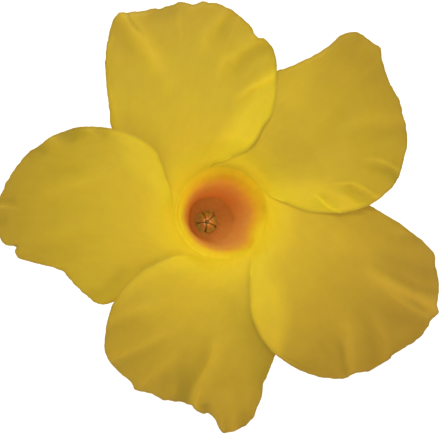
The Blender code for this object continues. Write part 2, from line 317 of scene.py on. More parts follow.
def throat_finish(start):
    """Yellow on the flare, orange from the throat's rim, red-brown further in, with fine streaks; deeper
    still it grows lighter again, a painted light where little light reaches, with painted shade and light by
    angle.
    """
    depth, inside = start.attribute("depth"), start.attribute("inside")
    # Past the darkest stop the colours grow lighter again: painted light where the deep tube gets little
    # light.
    colour = (inside * (1 / 30)).ramp(
        (0.0, (0.79, 0.56, 0.016)), (0.05, (0.79, 0.52, 0.02)), (0.085, (0.77, 0.43, 0.04)),
        (0.12, (0.72, 0.37, 0.055)), (0.24, (0.67, 0.32, 0.065)), (0.40, (0.71, 0.33, 0.065)),
        (0.55, (0.80, 0.36, 0.06)), (0.75, (0.88, 0.42, 0.07)), (1.0, (0.92, 0.46, 0.08)),
    )
    streaks = start.around_noise(8.0, depth * 0.25, detail=3.0)
    blotches = start.around_noise(1.5, depth * 0.4)
    # painted shade and painted light, by angle and depth
    colour = colour.shaded(1 - start.attribute("shade"))
    return colour.shaded(streaks * 0.14 + blotches * 0.1 + 0.88), streaks, 0.05


def tube_skin_finish(start):
    """Pale yellow that turns green towards the calyx, with fine ribs along the tube."""
    depth = start.attribute("depth")
    colour = (depth * (1 / 43)).ramp(
        (0.0, (0.66, 0.48, 0.06)), (0.25, (0.64, 0.48, 0.08)), (0.55, (0.58, 0.48, 0.11)),
        (0.80, (0.40, 0.42, 0.10)), (1.0, (0.26, 0.34, 0.07)),
    )
    ribs = start.around_noise(10.0, depth * 0.06, detail=3.0)
    blush = start.around_noise(1.2, depth * 0.15).smooth(0.5, 0.75) * 0.25
    return blush.between(colour, (0.58, 0.33, 0.07)).shaded(ribs * 0.3 + 0.85), ribs, 0.18


def tube_ribs(points):
    """How far the faint ribs, and the hollows between them, scale the tube at these points."""
    around = np.arctan2(points[:, 1], points[:, 0]) - math.radians(RIB_FIRST)
    return 1 + RIB_SHARE * np.cos(TUBE_RIBS * around) * smoothstep(7, 14, -points[:, 2])


flare = [(r, -flare_height(r, 0)) for r in np.linspace(MOUTH_RADIUS, THROAT_RADIUS, 14)]
inside = smooth_line([flare[-1], *TUBE_INSIDE], steps=6)
tube = turned("throat_and_tube", [*flare[:-1], *(tuple(ring) for ring in inside)], TUBE_SIDES)
bpy.ops.object.mode_set(mode="EDIT")
bpy.ops.mesh.select_all(action="SELECT")
bpy.ops.mesh.normals_make_consistent(inside=True)
bpy.ops.object.mode_set(mode="OBJECT")
points = points_of(tube)
depths, angles = -points[:, 2], np.degrees(np.arctan2(points[:, 1], points[:, 0])) % 360
corner_angles, corner_shares = np.array(THROAT_CORNERS).T
corners = np.interp(angles, corner_angles, corner_shares, period=360)
corners = 1 + (corners - 1) * smoothstep(RIM_DEPTH, 3.6, depths) * (1 - smoothstep(6, 16, depths))
points[:, :2] *= (corners * tube_ribs(points))[:, None]
keep(tube, "depth", depths)
keep_round(tube, points)
starts = np.interp(angles, *np.array(THROAT_COLOURS).T, period=360)
starts = starts + (1 - starts) * smoothstep(4, 14, depths)
keep(tube, "inside", (depths - RIM_DEPTH) * starts)
# Painted shade on the lining, and painted light where it is below 0.
shade = 0
for darker, middle, half_width, begins, ends in THROAT_PAINTED_SHADE:
    reached = smoothstep(*begins, depths) * (1 - smoothstep(*ends, depths))
    shade = shade + darker * around_mouth(angles, middle, half_width) * reached
keep(tube, "shade", shade)
lay_down(tube, carry(points, tube_middle))
tube.data.materials.append(tissue("throat lining", throat_finish, 0.55, 0.8, THROAT_SOAK))
give_wall(tube, TISSUE, tissue("tube skin", tube_skin_finish, 0.6, 0.8, THROAT_SOAK))
settle(tube)
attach(tube, "root")
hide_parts("corolla_tube")


# The collar of fine hairs that closes the tube around the anthers. The hairs grow from the tube's wall
# and point in and down, so close together that they are drawn as one soft orange skin.
COLLAR_SIDES, COLLAR_WALL, TUFT_SHARE = 240, 0.2, 0.12
COLLAR_STARTS = 13.6
COLLAR = [  # (radius, depth): it starts just inside the tube's wall
    (4.21, 13.4), (3.98, 14.4), (3.68, 15.3), (3.3, 16.0), (2.85, 16.6), (2.4, 17.1), (1.8, 17.8),
]


def hairs_finish(start):
    depth = start.attribute("depth")
    colour = ((depth - COLLAR_STARTS) * 0.25).ramp((0.0, (0.74, 0.33, 0.05)), (0.6, (0.86, 0.28, 0.05)))
    hairs = start.around_noise(24.0, depth * 0.4, detail=3.0)
    return colour.shaded(hairs * 0.4 + 0.8), hairs, 0.08


collar = turned("collar_of_hairs", COLLAR, COLLAR_SIDES)
bpy.ops.object.mode_set(mode="EDIT")
bpy.ops.mesh.select_all(action="SELECT")
bpy.ops.mesh.normals_make_consistent(inside=True)
bpy.ops.object.mode_set(mode="OBJECT")
points = points_of(collar)
depths = -points[:, 2]
tufts = [noise.noise(Vector((*spot * 2.4, 5.0))) for spot in points[:, :2]]
points[:, :2] *= (1 + TUFT_SHARE * np.array(tufts) * smoothstep(16.2, 17.4, depths))[:, None]
points[:, :2] *= tube_ribs(points)[:, None]
keep(collar, "depth", depths)
keep_round(collar, points)
lay_down(collar, carry(points, tube_middle))
hairs = tissue("hairs", hairs_finish, 0.7, 0.8, THROAT_SOAK)
collar.data.materials.append(hairs)
give_wall(collar, COLLAR_WALL, hairs)
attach(collar, "root")
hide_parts("corolla_tube")


# The five petals: broad flat lobes that grow out of the mouth and lie over each other like the
# blades of a fan, each with its clockwise side on top. Their crowns are ragged and loosely pleated.
PETALS = {
    # seat: its angles on the mouth, clockwise end first; edge: from there round to the other end;
    # shoulders: the edge points where the long sides end and the crown starts;
    # painted_outer_light: painted light on its outer part, painted shade where below 0; ripe: painted shade
    # that darkens and browns its outer part; curl: how fast it curls back;
    # raised: (radius, how far its clockwise side stands up there);
    # painted_behind_strength: (radius, how strong the painted light is there, where the petal behind lies);
    # folds: (height, half width or (clockwise, other) half widths, how much lighter as painted light and
    # shade, (angle, radius) from the inner end to the outer).
    "petal_top": {
        "seat": (104, 172), "painted_outer_light": 0.14, "ripe": 0.0, "curl": 0.011, "shoulders": (9, 27),
        "raised": [(8, 0.1), (10, 0.3), (13, 0.9), (17, 0.6), (21, 0.2), (30, 0.1)],
        "painted_behind_strength": [(15, 0.65), (19, 0.5), (26, 0.5)],
        "edge": [
            (102, 8.3), (97, 8.6), (88, 8.9), (81, 9.5), (74, 10.4), (67, 11.8), (64, 14.2), (63.8, 16.6),
            (62.6, 18.7), (63.5, 20.6), (65, 22.5), (67.5, 25), (69.5, 27.4), (72, 29.4), (75.5, 30.8),
            (78.4, 30.9), (81, 32.5), (86, 34.6), (91, 36), (95, 36.4), (98, 36.2), (101, 36.9),
            (105, 36.6), (109, 37), (112.5, 37.4), (115, 38.1), (117, 38.5), (119.5, 37.8), (122, 36.2),
            (124, 35.1), (126.5, 33.3), (129, 31.6), (132.5, 29.1), (137, 26.2), (142, 23.9),
            (145, 21), (151, 18.2), (157, 14.5), (163, 11.2),
        ],
        "folds": [
            (0.55, 1.6, 0.2, (112.5, 24), (113, 28.1), (113.6, 30.6), (114.7, 33.5), (116, 38)),
            (-0.3, 0.22, -0.25, (113.6, 33.4), (115, 35.9), (115, 37.6)),
            (-0.3, 1.3, -0.16, (111, 36.8), (107.5, 35.8), (102.5, 35.8)),
            (-0.35, 1.3, -0.08, (120, 30), (119.9, 34.8), (119.4, 37)),
            (0.4, 1.0, 0.09, (98.9, 26.4), (96.5, 28.7), (94, 31.3), (88.6, 33.9)),
            (0.15, 0.5, 0.05, (103, 30), (102, 33.7), (101.5, 35)),
            (-0.3, 0.9, -0.07, (89.7, 28.6), (88.2, 32.8), (85.4, 34.2)),
            (0.5, 1.1, 0.1, (92.9, 22.1), (88.7, 26.3), (84.7, 27.5), (78.4, 30.8)),
            (-0.45, 1.0, -0.12, (84.5, 22.5), (81.6, 26.2), (76.5, 28.8), (73.5, 29.6)),
            (0.45, 0.85, 0.11, (83, 19.4), (78.6, 21.4), (73.2, 23.5), (68.2, 25.7)),
            (-0.25, 0.8, -0.05, (83, 17.5), (75.4, 21), (67.6, 23.9)),
            (-0.15, 1.8, -0.04, (139, 10), (133.5, 15.6), (134.5, 20), (135, 22.8)),
            (0.1, 0.9, 0.06, (137.5, 24), (133, 28.5)),
            (0.2, 2.4, 0.03, (108, 14), (108, 24)),
        ],
    },
    "petal_left": {
        "seat": (172, 243), "painted_outer_light": 0.02, "ripe": 0.1, "curl": 0.012, "shoulders": (9, 36),
        "raised": [(8, 1.0), (14, 0.7), (18, 0.9), (22, 1.3), (27, 1.2)], "painted_behind_strength": [(8, 0.4), (30, 0.4)],
        "edge": [
            (170, 8.4), (164, 8.8), (156, 9.6), (149, 10.7), (143, 12), (138.5, 13.7), (135.8, 15.4),
            (136.5, 18.2), (138.4, 20.4), (141.5, 23.2), (145, 25.8), (149, 28.7), (152.5, 30.4),
            (156, 32.1), (159, 33.1), (163, 34.8), (167, 35.9), (171, 37), (174.5, 37.7), (176.5, 38.2),
            (178, 38.3), (181, 38.6), (184.5, 38.5), (187.5, 37.9), (188.6, 37.2), (189.2, 35.6),
            (190, 35.8), (190.8, 36), (192.5, 35.6), (195, 33.1), (198, 30.3), (200, 29), (203.5, 28.4),
            (208, 27.7), (213, 26.9), (217, 26), (219.5, 24), (221.5, 20), (227, 14), (236, 10.5),
        ],
        "folds": [
            (0.45, 1.4, 0.07, (160, 18.5), (161.4, 20.7), (165.4, 22.9), (169.9, 26.8), (173, 30)),
            (-0.25, 1.1, -0.04, (162.5, 25), (164.9, 27.8), (166, 30)),
            (-0.4, 1.4, -0.17, (152, 27.3), (153.4, 30.2)),
            (0.2, 0.5, 0.04, (147.5, 25), (148.4, 28)),
            (-0.3, 1.4, -0.1, (149.6, 26.5), (150, 29)),
            (-0.3, 1.1, -0.1, (146, 23.2), (145.4, 25.4)),
            (-0.3, 0.9, -0.14, (160.4, 31), (160.9, 34)),
            (-0.25, 0.7, -0.1, (163.2, 33), (163.6, 35)),
            (0.2, 0.9, 0.06, (157, 29.5), (156.8, 32.4)),
            (0.3, 0.3, 0.14, (178.7, 34), (178.5, 36), (178.3, 38.3)),
            (-0.3, 0.8, -0.08, (175.8, 35), (176.6, 38)),
            (-0.3, 1.0, -0.11, (181.5, 36), (181.9, 38.4)),
            (-0.2, 1.2, -0.1, (208, 16.5), (211, 20), (214, 24), (213, 26.5)),
            (0.25, 1.6, 0.03, (186, 24), (187.5, 33)),
            (-0.25, 1.6, -0.04, (192, 22), (193, 33)),
        ],
    },
    "petal_bottom": {
        "seat": (243, 316), "painted_outer_light": -0.04, "ripe": 0.6, "curl": 0.013, "shoulders": (8, 30),
        "raised": [(8, 0.9), (14, 1.0), (19, 1.3), (24, 1.6), (29, 1.2)], "painted_behind_strength": [(8, 0.5), (15, 0.3)],
        "edge": [
            (241, 8.4), (234, 9), (226, 10.2), (219.5, 12), (216.8, 14.7), (215.8, 16.5), (216.5, 19.5),
            (218, 22), (220.5, 24.6), (223.5, 26.8), (226, 28.6), (229, 30.5), (232, 31.7), (235, 32.1),
            (238, 32.5), (242, 32.9), (244, 33.7), (247, 33.4), (250, 33.3), (253.5, 33.5), (257, 33.2),
            (260.5, 33.3), (262.5, 34), (264.5, 34.5), (266.5, 34.5), (268.3, 35.4), (269.5, 37),
            (271, 37.9), (273.5, 38.2), (275.2, 37.5), (277, 36.5), (279, 35.6), (280.5, 34),
            (282.5, 32.3), (284, 30.2), (287, 28.3), (290, 26.6), (295, 24.6), (301, 21.8), (306, 18.5),
            (310, 14), (313, 10.8),
        ],
        "folds": [
            (0.35, 1.0, 0.07, (238, 17.5), (234.7, 19.7), (229.9, 21.7), (226.4, 24.05), (223.8, 27)),
            (-0.3, 1.3, -0.07, (237, 21.5), (234.6, 23.5), (230.2, 25.5), (226.9, 28.3), (225.5, 29.5)),
            (0.4, 1.0, 0.08, (250, 20), (247.3, 22.3), (243.6, 23.8), (240.7, 25.9), (237, 28.5),
             (233, 31.6)),
            (-0.3, 1.2, -0.07, (248, 24), (245, 26), (241, 28), (237, 31.2), (236, 32)),
            (0.35, 0.9, 0.07, (255, 23), (253.4, 24.9), (249.8, 28.1), (247.4, 30.2), (245.2, 32.4)),
            (-0.25, 1.4, -0.13, (256.5, 25), (256.3, 28.3), (257.8, 31.7), (257.5, 33)),
            (-0.25, 0.9, -0.08, (252.2, 28.5), (251.6, 31.5)),
            (0.15, 0.4, 0.06, (255.7, 30), (255.2, 32)),
            (-0.3, (1.6, 0.5), -0.1, (266.5, 20.5), (263.8, 25.6), (261.2, 28.5), (259.9, 30.5),
             (259.6, 33)),
            (0.5, (0.8, 2.4), 0.14, (268.5, 19.5), (265.8, 25.6), (263.4, 28.5), (262.0, 30.5), (262, 33.5)),
            (0.2, 0.3, 0.07, (263.4, 30.3), (262.5, 33.4)),
            (-0.4, 0.9, -0.2, (265, 32.3), (265.7, 34.4)),
            (0.2, 0.45, 0.1, (273.6, 33.8), (273.4, 38)),
            (-0.2, 0.4, -0.06, (271.3, 35), (271.5, 37.7)),
            (-0.25, 0.6, -0.08, (276.4, 33.5), (276, 37)),
            (-0.1, 2.2, -0.13, (281, 15), (285.4, 21.6), (288, 25.5), (285, 29)),
            (0.2, 1.5, 0.04, (278, 24), (278, 33)),
            (0.0, 3.0, 0.14, (272, 28), (272, 38)),
            (-0.2, 1.8, -0.05, (276, 13), (276, 18.5)),
        ],
    },
    "petal_lower_right": {
        "seat": (316, 390), "painted_outer_light": 0.0, "ripe": 0.8, "curl": 0.015, "shoulders": (9, 32),
        "raised": [(8, 0.6), (14, 0.6), (20, 0.8), (26, 1.4), (30, 1.4)], "painted_behind_strength": [(10, 0.3), (17, 0.65)],
        "edge": [
            (314, 8.4), (308, 9), (301, 10), (295, 11.5), (291, 13.4), (288, 15.8), (286.6, 18),
            (286.8, 20.3), (288, 22.8), (290.3, 25.4), (292.5, 27.1), (295, 29), (298.5, 31.4),
            (303, 33.8), (307, 35.5), (310, 35.9), (314, 37.6), (317, 38.7), (318.8, 38.6),
            (320.3, 38.2), (323, 38.9), (327, 40), (331, 40.6), (333, 40.5), (335.3, 41), (337, 40.3),
            (340.5, 39.7), (343.5, 38.9), (346, 38), (349, 37.3), (351.5, 35.5), (354.5, 32.7),
            (357.5, 30), (361.5, 26.6), (366, 23.5), (372, 20), (379, 16.2), (385.5, 12.4),
        ],
        "folds": [
            (0.65, 1.4, 0.2, (338, 24.5), (337.4, 28), (336.9, 31), (336.8, 34.5), (336.6, 37.5),
             (336.5, 40)),
            (-0.4, 0.7, -0.1, (341, 28.5), (339.7, 33.2), (339, 36), (339.7, 39)),
            (-0.25, 0.4, -0.1, (335.1, 35), (334.8, 36.6), (334.3, 38.6)),
            (0.35, 0.6, 0.12, (334.7, 31), (333.9, 33.6), (333.4, 36.4), (333.3, 39.3)),
            (-0.45, 1.5, -0.08, (328, 29.5), (328.4, 33.7), (329.8, 37), (330.2, 39)),
            (-0.3, 1.2, -0.1, (352.4, 30.5), (352.6, 34)),
            (-0.3, 1.5, -0.06, (344, 26), (344, 31), (343.4, 35)),
            (-0.3, 1.2, -0.1, (344, 35.5), (344.3, 38.5)),
            (0.25, 0.7, 0.08, (354.6, 29), (353.8, 32.6)),
            (0.6, 1.3, 0.11, (320, 26), (317.8, 29.5), (314.1, 32), (311.5, 34), (309.9, 35.6)),
            (-0.4, 0.55, -0.14, (313, 28.5), (311.4, 31.2), (309.3, 33), (308.2, 35)),
            (-0.2, 1.5, -0.06, (309, 27), (307, 31.5)),
            (-0.35, 0.95, -0.08, (325, 27.5), (323.6, 30.8), (321, 33.1), (316.6, 36.6)),
            (0.35, 0.8, 0.09, (326, 31), (324, 34.4), (321.6, 36.4), (319.4, 38)),
            (0.15, 1.0, 0.08, (296.5, 21), (293.5, 24.3), (292, 26.3)),
            (-0.2, 1.0, -0.06, (303, 31), (304, 33.6)),
            (0.0, 2.0, -0.12, (304, 31.5), (297, 30)),
            (0.25, 2.5, 0.08, (347, 17), (346, 26)),
        ],
    },
    "petal_upper_right": {
        "seat": (30, 107), "painted_outer_light": 0.04, "ripe": 0.25, "curl": 0.013, "shoulders": (9, 36),
        "raised": [(8, 0.4), (14, 0.3), (19, 0.4), (23, 0.8), (26, 1.2), (30, 1.3)],
        "painted_behind_strength": [(8, 0.5), (30, 0.5)],
        "edge": [
            (28.5, 8.3), (24, 8.5), (17.5, 9.1), (12, 10.3), (8, 11.5), (4.3, 12.8), (0.9, 15), (0, 17.5),
            (0, 20.4), (0.8, 22.4), (2.6, 25), (4.9, 27.1), (9, 30), (13, 31.6), (17, 32.9), (21, 34.3),
            (25, 35.1), (28.5, 35.5), (32.5, 36.3), (36, 36.4), (39.5, 36.9), (43, 38), (46.3, 39.4),
            (49.5, 39.1), (52, 39), (54.5, 38.2), (56.2, 36.6), (57, 34.5), (59.5, 31.5), (62.5, 29.2),
            (65.2, 27.6), (68.4, 26.3), (72.5, 24.6), (78, 20.5), (84, 15.5), (92, 11.8), (101, 9.4),
        ],
        "folds": [
            (0.45, 1.2, 0.08, (35.5, 25), (33.8, 29.6), (31.5, 31.5), (29.5, 33.5), (28.4, 35.4)),
            (-0.35, 1.1, -0.06, (29.5, 27), (27, 30.5), (25, 32.8), (24.3, 34.8)),
            (0.4, 0.4, 0.15, (21.5, 26), (19.1, 28.1), (16.7, 29.7), (13.2, 31.5)),
            (-0.35, 0.7, -0.12, (19, 25.5), (14.3, 29.2), (11.2, 30.6)),
            (0.5, 0.42, 0.2, (14.5, 20), (13.3, 21.8), (12.4, 23.2), (9.3, 25), (5.3, 27.2)),
            (-0.45, 0.65, -0.08, (12.5, 20), (11.1, 22), (6.7, 23.7), (4.2, 25.4)),
            (0.25, 0.7, 0.02, (9, 19.8), (7.3, 21.6), (2.9, 23.4)),
            (0.5, 0.42, 0.16, (10.8, 16), (9, 16.95), (5.4, 17.8), (1.8, 19.1), (0, 20.5)),
            (-0.2, 0.6, -0.05, (12, 16.8), (8.4, 18.5), (4.5, 20)),
            (-0.15, 0.8, -0.04, (8, 14.5), (2.5, 16.6)),
            (0.2, 1.0, 0.05, (56, 31), (57.2, 33.3)),
            (-0.2, 0.9, -0.04, (50.5, 34), (51.6, 38)),
            (-0.2, 1.2, -0.05, (41, 33), (41.5, 37)),
            (0.2, 2.2, 0.03, (47, 18), (48, 32)),
            (0.0, 5.0, -0.13, (45, 8), (44, 11.5), (42, 15.5)),
            (0.0, 3.0, 0.12, (60, 20), (60, 29)),
            (0.0, 2.0, -0.09, (18, 30), (12, 31)),
            (-0.2, 1.8, -0.03, (30, 16), (38, 27)),
        ],
    },
}
CLOCKWISE_NEXT = {
    "petal_left": "petal_top", "petal_top": "petal_upper_right",
    "petal_upper_right": "petal_lower_right", "petal_lower_right": "petal_bottom",
    "petal_bottom": "petal_left",
}
LINE_STEPS = 12
SIDE_LOWERED = 0.5
RAGGED_BY = 0.22
MARGIN_BENT_BACK, MARGIN_BEND = 0.3, 0.6  # how far, and how wide a margin
BEHIND_BLUR = 1.8  # how softly the painted light over the petal behind fades out at its edge
# Painted shade on the petals' feet near the top of the mouth.
FOOT_PAINTED_SHADE = [  # (how much darker, middle angle, half width, radii where it ends)
    (0.2, 78, 45, (7.8, 9.6)), (0.1, 100, 50, (11, 14)),
]
SEAM_PAINTED_LIGHT, SEAM_PAINTED_LIGHT_WIDTH = 0.05, 0.4  # painted light: a lighter line where the petals meet the throat's flare, over the seam's shade
SEEN_FROM = 524.3  # petals that curl away from this height over the face would look too small
PETAL_GRID = 136
RELAXED_TIMES = 60


def point_along(line, share):
    """The points at these shares of a line's length."""
    steps = np.linalg.norm(np.diff(line, axis=0), axis=1)
    reached = np.concatenate([[0], np.cumsum(steps)])
    return np.stack([np.interp(share * reached[-1], reached, line[:, k]) for k in range(2)], axis=-1)


def off_line(spots, line):
    """How far each spot is from a line, how far to its left, and at which share of its length."""
    starts, runs = line[:-1], np.diff(line, axis=0)
    lengths = np.linalg.norm(runs, axis=1)
    reached = np.concatenate([[0], np.cumsum(lengths)])
    nearest = np.full(len(spots), np.inf)
    left, share = np.zeros(len(spots)), np.zeros(len(spots))
    for start, run, length, before in zip(starts, runs, lengths, reached):
        gap = spots - start
        part = np.clip(gap @ run / length**2, 0, 1)
        away = np.linalg.norm(gap - part[:, None] * run, axis=1)
        nearer = away < nearest
        turn = run[0] * gap[:, 1] - run[1] * gap[:, 0]
        nearest = np.where(nearer, away, nearest)
        left = np.where(nearer, np.copysign(away, turn), left)
        share = np.where(nearer, (before + part * length) / reached[-1], share)
    return nearest, left, share


def outline_of(name):
    """A petal's outline in its plane: (clockwise side, crown, other side)."""
    petal = PETALS[name]
    clockwise, other = petal["seat"]
    edge = [(clockwise, MOUTH_RADIUS), *petal["edge"], (other, MOUTH_RADIUS)]
    line = smooth_line([on_face(*corner) for corner in edge], LINE_STEPS)
    for spot in line:
        ragged = noise.noise(Vector((*spot * 0.8, 3.0))) + 0.6 * noise.noise(Vector((*spot * 2.0, 7.0)))
        reach = np.hypot(*spot)
        spot += RAGGED_BY * ragged * smoothstep(10, 16, reach) * spot / reach
    first, last = ((index + 1) * LINE_STEPS for index in petal["shoulders"])
    return line[: first + 1], line[first : last + 1], line[last:][::-1]


def spread(name, across, along):
    """A petal's spots in its plane for these shares across, from its clockwise side, and along."""
    clockwise, other = PETALS[name]["seat"]
    clockwise_side, crown, other_side = outline_of(name)
    across, along = across[:, None], along[:, None]
    seat = on_face(clockwise + (other - clockwise) * across[:, 0], MOUTH_RADIUS)
    sides = (1 - across) * point_along(clockwise_side, along[:, 0])
    sides = sides + across * point_along(other_side, along[:, 0])
    ends = (1 - along) * seat + along * point_along(crown, across[:, 0])
    four = (1 - along) * ((1 - across) * clockwise_side[0] + across * other_side[0])
    four = four + along * ((1 - across) * crown[0] + across * crown[-1])
    return sides + ends - four


def relaxed(spots):
    """A grid of spots whose inner ones have drawn towards the middle of their four neighbours."""
    grid = spots.reshape(PETAL_GRID + 1, PETAL_GRID + 1, 2).copy()
    for _ in range(RELAXED_TIMES):
        beside = grid[1:-1, 2:] + grid[1:-1, :-2] + grid[2:, 1:-1] + grid[:-2, 1:-1]
        grid[1:-1, 1:-1] = beside / 4
    return grid.reshape(-1, 2)


def petal_front_finish(start):
    """Yellow, brightest near the throat and duller outwards, partly its own colour and partly painted shade
    of the curled-back outer part; painted light where another petal lies behind.
    """
    reach, doubled, lift = (start.attribute(name) for name in ("reach", "doubled", "lift"))
    to_margin, across, along = (start.attribute(name) for name in ("to_margin", "across", "along"))
    # Duller outwards: partly the petal's own colour, partly painted shade where the outer part curls away
    # from the light.
    colour = (reach * (1 / 40)).ramp(
        (0.20, (0.79, 0.56, 0.016)), (0.25, (0.68, 0.50, 0.014)), (0.35, (0.585, 0.415, 0.015)),
        (0.50, (0.545, 0.395, 0.017)), (0.70, (0.478, 0.345, 0.018)), (0.90, (0.425, 0.29, 0.020)),
    )
    # painted light where another petal lies behind
    colour = doubled.between(colour, (0.80, 0.575, 0.015))
    veins = start.noise(across * 70.0, along * 2.0, detail=3.0)
    mottling = start.noise(across * 14.0, along * 12.0, detail=3.0)
    # painted shade: a darker, browner outer part on the petals that face away from the light
    colour = (start.attribute("ripe") * 0.5).between(colour, (0.42, 0.225, 0.025))
    colour = colour.shaded(veins * 0.07 + mottling * 0.12 + 0.905)
    # painted light and shade: on the outer part, near the mouth, along the seam and on the folds
    colour = colour.shaded(lift + 1.0)
    edge = (1 - to_margin.smooth(0.0, 0.6)) * 0.4
    return edge.between(colour, (0.26, 0.19, 0.03)), veins * 0.6 + mottling * 0.4, 0.03


def petal_back_finish(start):
    """Paler than the front, with stronger veins, and greener on the half that the bud showed."""
    reach, across, along = (start.attribute(name) for name in ("reach", "across", "along"))
    colour = (reach * (1 / 40)).ramp(
        (0.2, (0.60, 0.46, 0.05)), (0.5, (0.58, 0.45, 0.06)), (0.95, (0.53, 0.40, 0.06)),
    )
    showed = across.smooth(0.45, 0.75) * (1 - along.smooth(0.6, 1.0)) * 0.45
    colour = showed.between(colour, (0.50, 0.42, 0.07))
    veins = start.noise(across * 55.0, along * 1.6, detail=3.0)
    mottling = start.noise(across * 12.0, along * 9.0, detail=3.0)
    return colour.shaded(veins * 0.3 + mottling * 0.12 + 0.79), veins, 0.14


petal_front = tissue("petal front", petal_front_finish, 0.55)
petal_back = tissue("petal back", petal_back_finish, 0.6)
for name, petal in PETALS.items():
    bpy.ops.object.select_all(action="DESELECT")
    bpy.ops.mesh.primitive_grid_add(x_subdivisions=PETAL_GRID, y_subdivisions=PETAL_GRID, size=2 * MM)
    made = bpy.context.object
    made.name = made.data.name = name + "_blade"
    square = points_of(made)
    across, along = np.clip([(1 - square[:, 0]) / 2, (square[:, 1] + 1) / 2], 0, 1)
    along = along**1.1
    spots = relaxed(spread(name, across, along))
    reach = np.linalg.norm(spots, axis=1)
    clockwise_side, crown, other_side = outline_of(name)
    margin = np.vstack([clockwise_side, crown[1:], other_side[::-1][1:]])
    to_margin = off_line(spots, margin)[0]
    behind, crown_behind, far_behind = outline_of(CLOCKWISE_NEXT[name])
    behind = np.vstack([behind, crown_behind[1:], far_behind[::-1][1:]])
    # Painted light where the next petal clockwise lies behind this one, soft at its edge and set by radius.
    doubled = smoothstep(-BEHIND_BLUR, BEHIND_BLUR, off_line(spots, behind)[1])
    doubled = doubled * np.interp(reach, *np.array(petal["painted_behind_strength"]).T)
    raised = np.interp(reach, *np.array(petal["raised"]).T) * smoothstep(-0.1, 1, 1 - 2 * across)
    lowered = SIDE_LOWERED * smoothstep(-0.1, 1, 2 * across - 1)
    height = raised - lowered
    # painted light on the outer part, and painted shade where it is below 0
    lift = petal["painted_outer_light"] * smoothstep(16, 34, reach)
    angles = np.degrees(np.arctan2(spots[:, 1], spots[:, 0]))
    # painted shade on the petals' feet near the top of the mouth
    for darker, middle, half_width, ends in FOOT_PAINTED_SHADE:
        lift = lift - darker * around_mouth(angles, middle, half_width) * (1 - smoothstep(*ends, reach))
    # painted light along the seam with the throat's flare
    lift = lift + SEAM_PAINTED_LIGHT * np.exp(-(((reach - MOUTH_RADIUS) / SEAM_PAINTED_LIGHT_WIDTH) ** 2))
    # Each fold raises or lowers the petal, and paints light and shade along it.
    for rise, half_widths, lighter, *way in petal["folds"]:
        away, left, share = off_line(spots, smooth_line([on_face(*place) for place in way], 8))
        clockwise, other = np.broadcast_to(half_widths, 2)
        strength = np.exp(-((away / np.where(left > 0, other, clockwise)) ** 2))
        strength = strength * (0.15 + 0.85 * smoothstep(0, 0.4, share))
        height = height + rise * strength
        lift = lift + lighter * strength
    height = flare_height(reach, petal["curl"]) + height * smoothstep(0, 0.15, along)
    bent_back = MARGIN_BENT_BACK * np.exp(-((to_margin / MARGIN_BEND) ** 2))
    height = height - bent_back * smoothstep(0.1, 0.4, along)
    spots = spots * (1 - height / SEEN_FROM * smoothstep(8, 14, reach))[:, None]
    keep(made, "reach", reach)
    keep(made, "across", across)
    keep(made, "along", along)
    keep(made, "doubled", doubled)
    # painted shade, darker and browner outwards
    keep(made, "ripe", petal["ripe"] * smoothstep(10, 26, reach))
    keep(made, "lift", lift)
    keep(made, "to_margin", to_margin + 3 * (1 - smoothstep(0.05, 0.3, along)))
    body = made.vertex_groups.new(name="body")
    for number, weight in enumerate(smoothstep(0, 1.5, to_margin)):
        body.add([number], float(weight), "REPLACE")
    lay_down(made, np.column_stack([spots, height]))
    made.data.materials.append(petal_front)
    give_wall(made, TISSUE, petal_back, margin_share=0.8)
    settle(made)
    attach(made, "root")
    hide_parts(name)


# The five stamens: short hairy filaments on the tube's wall, and flat arrow-shaped anthers that lean
# together into a cone over the stigma head. Their backs are green and their tips orange-brown.
STAMENS = 5
STAMEN_FIRST = 80.0
STAMEN_FOOT_DEPTH, STAMEN_TIP_DEPTH = 22.5, 14.0
STAMEN_PROFILE = [
    # (share of its height, distance from the cone's middle, half width, half thickness)
    (0.0, 2.46, 0.25, 0.25), (0.14, 2.42, 0.28, 0.26), (0.26, 2.15, 0.55, 0.34), (0.42, 1.8, 0.94, 0.4),
    (0.60, 1.5, 0.92, 0.4), (0.80, 1.05, 0.63, 0.32), (1.0, 0.42, 0.22, 0.18),
]
CONE_STANDS_FROM, CONE_STANDS_BY = 19.0, 0.035


def cone_middle(depth):
    """The middle of the cone of anthers, which stands straighter than the tube around it."""
    above = np.maximum(0, CONE_STANDS_FROM - depth)
    return tube_middle(depth) + on_face(LEAN_TOWARDS, 1.0) * (CONE_STANDS_BY * above**2)[:, None]


def stamen_finish(start):
    height, side = start.attribute("height"), start.attribute("side")
    colour = height.ramp(
        (0.0, (0.70, 0.50, 0.08)), (0.25, (0.62, 0.58, 0.10)), (0.42, (0.54, 0.56, 0.10)),
        (0.74, (0.46, 0.47, 0.08)), (0.86, (0.70, 0.42, 0.10)), (1.0, (0.92, 0.42, 0.12)),
    )
    grain = start.noise(side * 6.0, height * 14.0, detail=3.0)
    groove = (1 - (side * side).smooth(0.0, 0.08)) * 0.25
    return groove.between(colour, (0.60, 0.50, 0.08)).shaded(grain * 0.3 + 0.9), grain, 0.05


